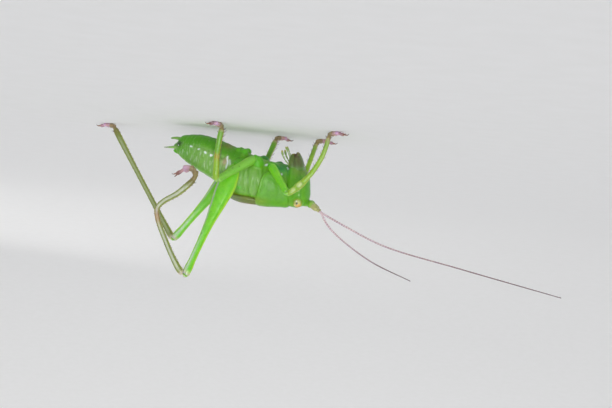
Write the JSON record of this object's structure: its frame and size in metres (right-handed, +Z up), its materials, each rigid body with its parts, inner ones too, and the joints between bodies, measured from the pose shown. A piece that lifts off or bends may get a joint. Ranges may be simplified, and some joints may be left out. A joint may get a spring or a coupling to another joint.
{
  "type": "bush-cricket nymph",
  "caption": "Life-size model of a long-horned grasshopper nymph, a leaf bush-cricket, standing with one hind leg lifted and curled and its long feelers held forward.",
  "frame": {"origin": "on the floor, under the middle of the whole animal's bounding box, feelers and feet included", "axes": "+X forwards along the trunk, +Y to the animal's left, +Z up"},
  "size_m": [0.0628, 0.0252, 0.0192],
  "materials": {
    "body_green": "translucent leaf-green cuticle, moist sheen",
    "thigh_green": "bright green cuticle, darker dots, yellow-green edges",
    "shin_green": "yellow-green cuticle with a pale ear window on the front pair",
    "shin_pale": "pale olive cuticle with fine dark lengthwise lines",
    "foot_pink": "pinkish-brown soft pads and claws",
    "eye_facets": "yellow facetted eye with a dark false pupil",
    "feeler": "pink-brown ringed feeler",
    "feeler_base": "cream-yellow base joint",
    "mouth_brown": "olive-brown jaws and upper lip",
    "pale_green": "pale green thin cuticle",
    "wing_pad": "grey-green translucent wing pad with a cream edge"
  },
  "bodies": {
    "root": {"abdomen_1": "body_green", "abdomen_2": "body_green", "abdomen_3": "body_green", "abdomen_4": "body_green", "abdomen_5": "body_green", "abdomen_6": "body_green", "abdomen_7": "body_green", "abdomen_8": "body_green", "abdomen_tip": "body_green", "antenna_left_1": "feeler", "antenna_left_2": "feeler", "antenna_left_base": "feeler_base", "antenna_right_1": "feeler", "antenna_right_2": "feeler", "antenna_right_base": "feeler_base", "cercus_left": "pale_green", "cercus_right": "pale_green", "coxa_front_left": "thigh_green", "coxa_front_right": "thigh_green", "coxa_hind_left": "thigh_green", "coxa_hind_right": "thigh_green", "coxa_middle_left": "thigh_green", "coxa_middle_right": "thigh_green", "eye_left": "eye_facets", "eye_right": "eye_facets", "femur_front_left": "thigh_green", "femur_front_right": "thigh_green", "femur_hind_left": "thigh_green", "femur_hind_right": "thigh_green", "femur_middle_left": "thigh_green", "femur_middle_right": "thigh_green", "head": "body_green", "jaw_left": "mouth_brown", "jaw_right": "mouth_brown", "lip": "mouth_brown", "lower_lip": "body_green", "mesothorax": "body_green", "metathorax": "body_green", "palp_inner_left": "pale_green", "palp_inner_right": "pale_green", "palp_outer_left": "pale_green", "palp_outer_right": "pale_green", "pronotum": "body_green", "prothorax": "body_green", "subgenital_plate": "pale_green", "tarsus_front_left": "foot_pink", "tarsus_front_right": "foot_pink", "tarsus_hind_left": "foot_pink", "tarsus_hind_right": "foot_pink", "tarsus_middle_left": "foot_pink", "tarsus_middle_right": "foot_pink", "tibia_front_left": "shin_green", "tibia_front_right": "shin_green", "tibia_hind_left_lower": "shin_pale", "tibia_hind_left_upper": "shin_pale", "tibia_hind_right": "shin_pale", "tibia_middle_left": "shin_green", "tibia_middle_right": "shin_green", "wing_pad_left": "wing_pad", "wing_pad_right": "wing_pad"}
  },
  "joints": []
}
